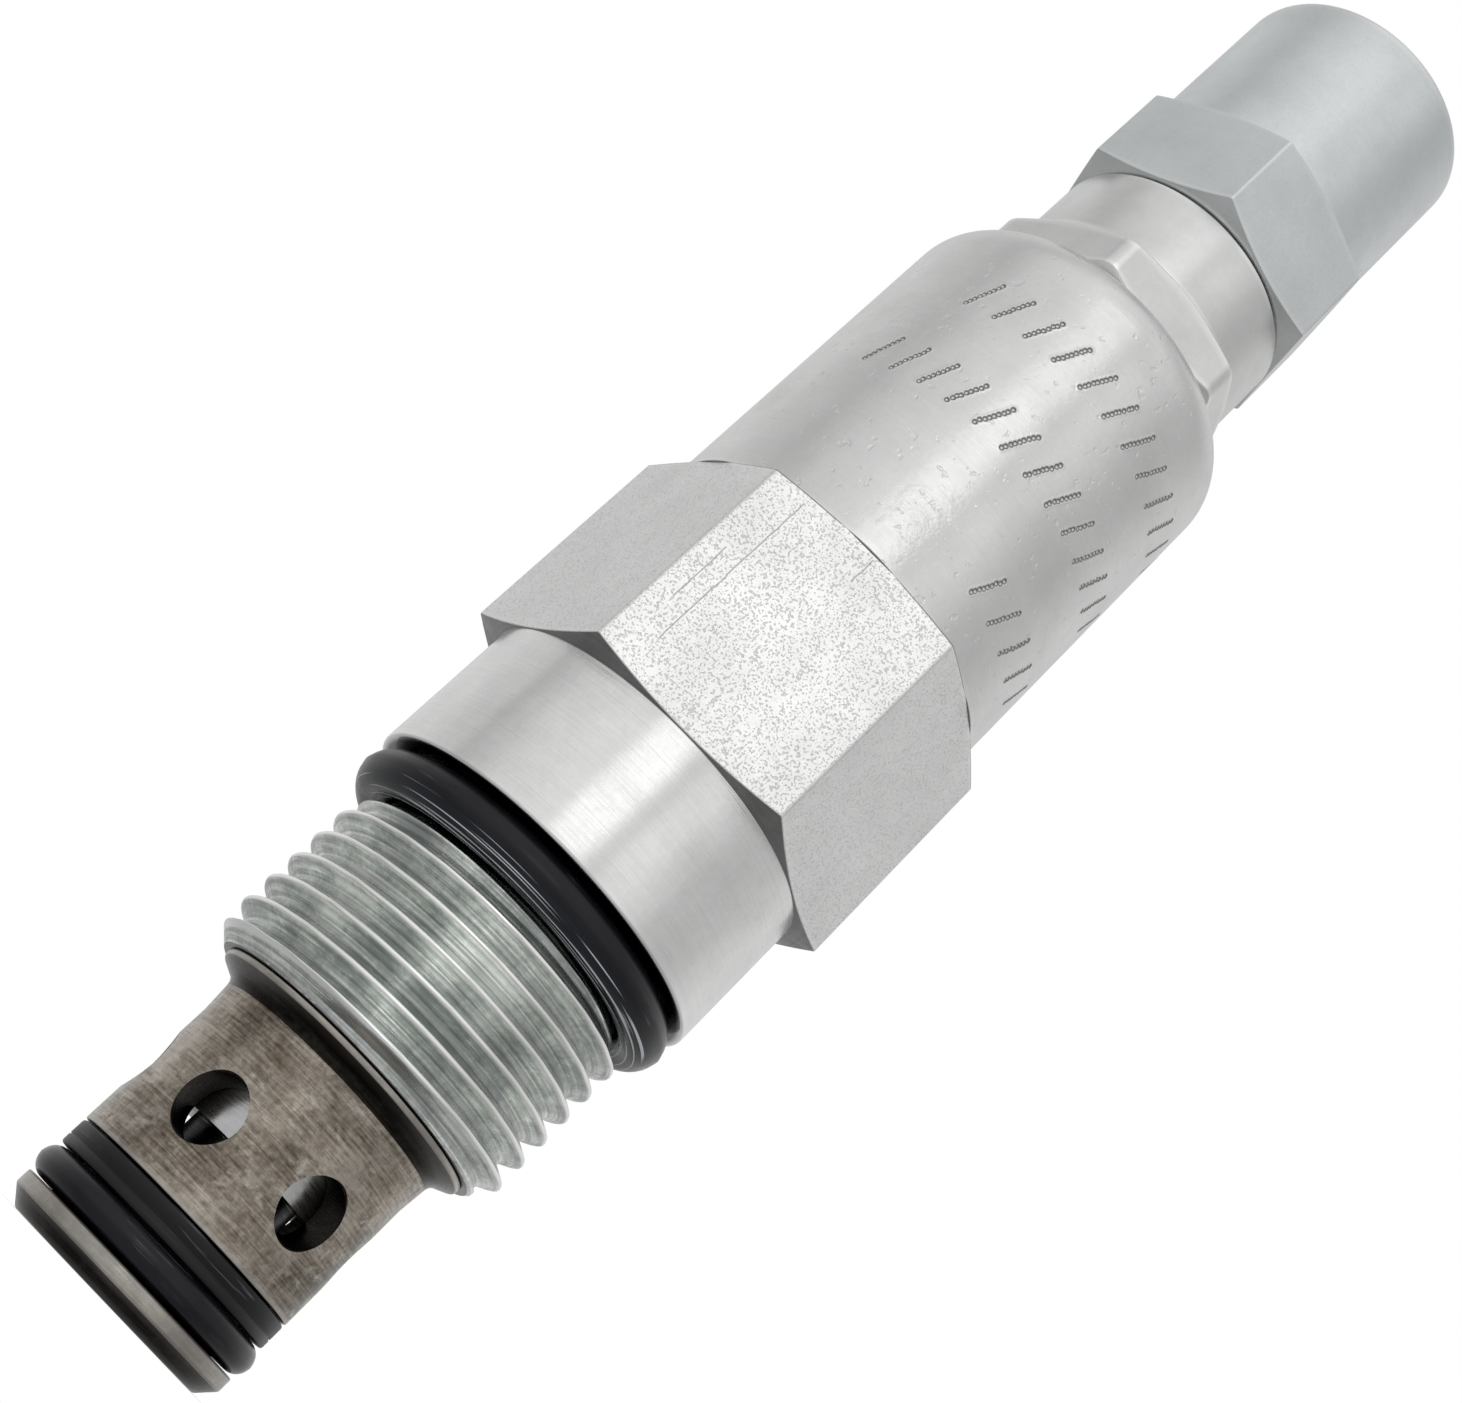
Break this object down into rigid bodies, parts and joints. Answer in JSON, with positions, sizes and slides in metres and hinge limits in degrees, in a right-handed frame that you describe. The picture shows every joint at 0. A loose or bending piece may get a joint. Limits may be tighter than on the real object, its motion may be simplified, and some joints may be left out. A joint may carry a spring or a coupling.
{
  "type": "cartridge valve",
  "caption": "Screw-in relief cartridge valve: ported nose with seals, threaded body with hexagon and barrel, bonnet and closed cap over a locked adjusting screw.",
  "frame": {"origin": "on the valve axis at the seating face, the underside of the collar", "axes": "+Z along the valve axis towards the cap; +X and +Y across it, with one flat of the body hexagon facing about -Y"},
  "size_m": [0.0292, 0.0262, 0.1178],
  "materials": {
    "body_zinc": "zinc plated, satin",
    "bonnet_zinc": "zinc plated, satin",
    "cage_steel": "heat-treated, fine turned",
    "ground_steel": "ground",
    "spring_steel": "oiled wire",
    "fastener_zinc": "zinc plated",
    "nitrile": "matte",
    "backup_black": "matte"
  },
  "bodies": {
    "valve_body": {"body": "body_zinc", "cage": "cage_steel", "nose_o_ring": "nitrile", "nose_backup_ring": "backup_black", "port_o_ring": "nitrile", "main_spring": "spring_steel", "bonnet": "bonnet_zinc", "bonnet_o_ring": "nitrile"},
    "poppet": {"poppet": "ground_steel", "lower_spring_seat": "ground_steel"},
    "spring_plug": {"spring_plug": "ground_steel", "plug_o_ring": "nitrile", "plug_backup_ring": "backup_black", "spring_shim": "ground_steel"},
    "adjusting_screw": {"adjusting_screw": "fastener_zinc", "retaining_ring": "spring_steel"},
    "lock_washer": {"lock_washer": "fastener_zinc", "lock_washer_seal": "nitrile"},
    "lock_nut": {"lock_nut": "fastener_zinc"},
    "cap_seal": {"cap_seal": "nitrile"},
    "cap": {"cap": "bonnet_zinc"}
  },
  "joints": [
    {"name": "poppet_lift", "type": "slide", "parent": "valve_body", "child": "poppet", "axis": [0, 0, 1], "range_m": [0, 0.002], "stiffness_N_per_m": 300, "springref_m": -0.004, "deforming": ["main_spring"]},
    {"name": "adjuster_travel", "type": "slide", "parent": "valve_body", "child": "spring_plug", "axis": [0, 0, 1], "range_m": [-0.004, 0.0015], "deforming": ["main_spring"]},
    {"name": "adjuster_turn", "type": "hinge", "parent": "spring_plug", "child": "adjusting_screw", "pos_m": [0, 0, 0.06], "axis": [0, 0, 1], "range_deg": [-1152, 432]},
    {"name": "lock_washer_lift", "type": "slide", "parent": "valve_body", "child": "lock_washer", "axis": [0, 0, 1], "range_m": [0, 0.0015]},
    {"name": "lock_nut_turn", "type": "hinge", "parent": "lock_washer", "child": "lock_nut", "pos_m": [0, 0, 0.073], "axis": [0, 0, 1], "range_deg": [0, 432]},
    {"name": "cap_seal_lift", "type": "slide", "parent": "valve_body", "child": "cap_seal", "axis": [0, 0, 1], "range_m": [0, 0.02]},
    {"name": "cap_turn", "type": "hinge", "parent": "cap_seal", "child": "cap", "pos_m": [0, 0, 0.07], "axis": [0, 0, 1], "range_deg": [0, 7200]}
  ],
  "couplings": [
    {"joint": "adjuster_travel", "follows": "adjuster_turn", "m_per_rad": 0.00019894},
    {"joint": "lock_washer_lift", "follows": "lock_nut_turn", "m_per_rad": 0.00019894},
    {"joint": "cap_seal_lift", "follows": "cap_turn", "m_per_rad": 0.00015915}
  ]
}
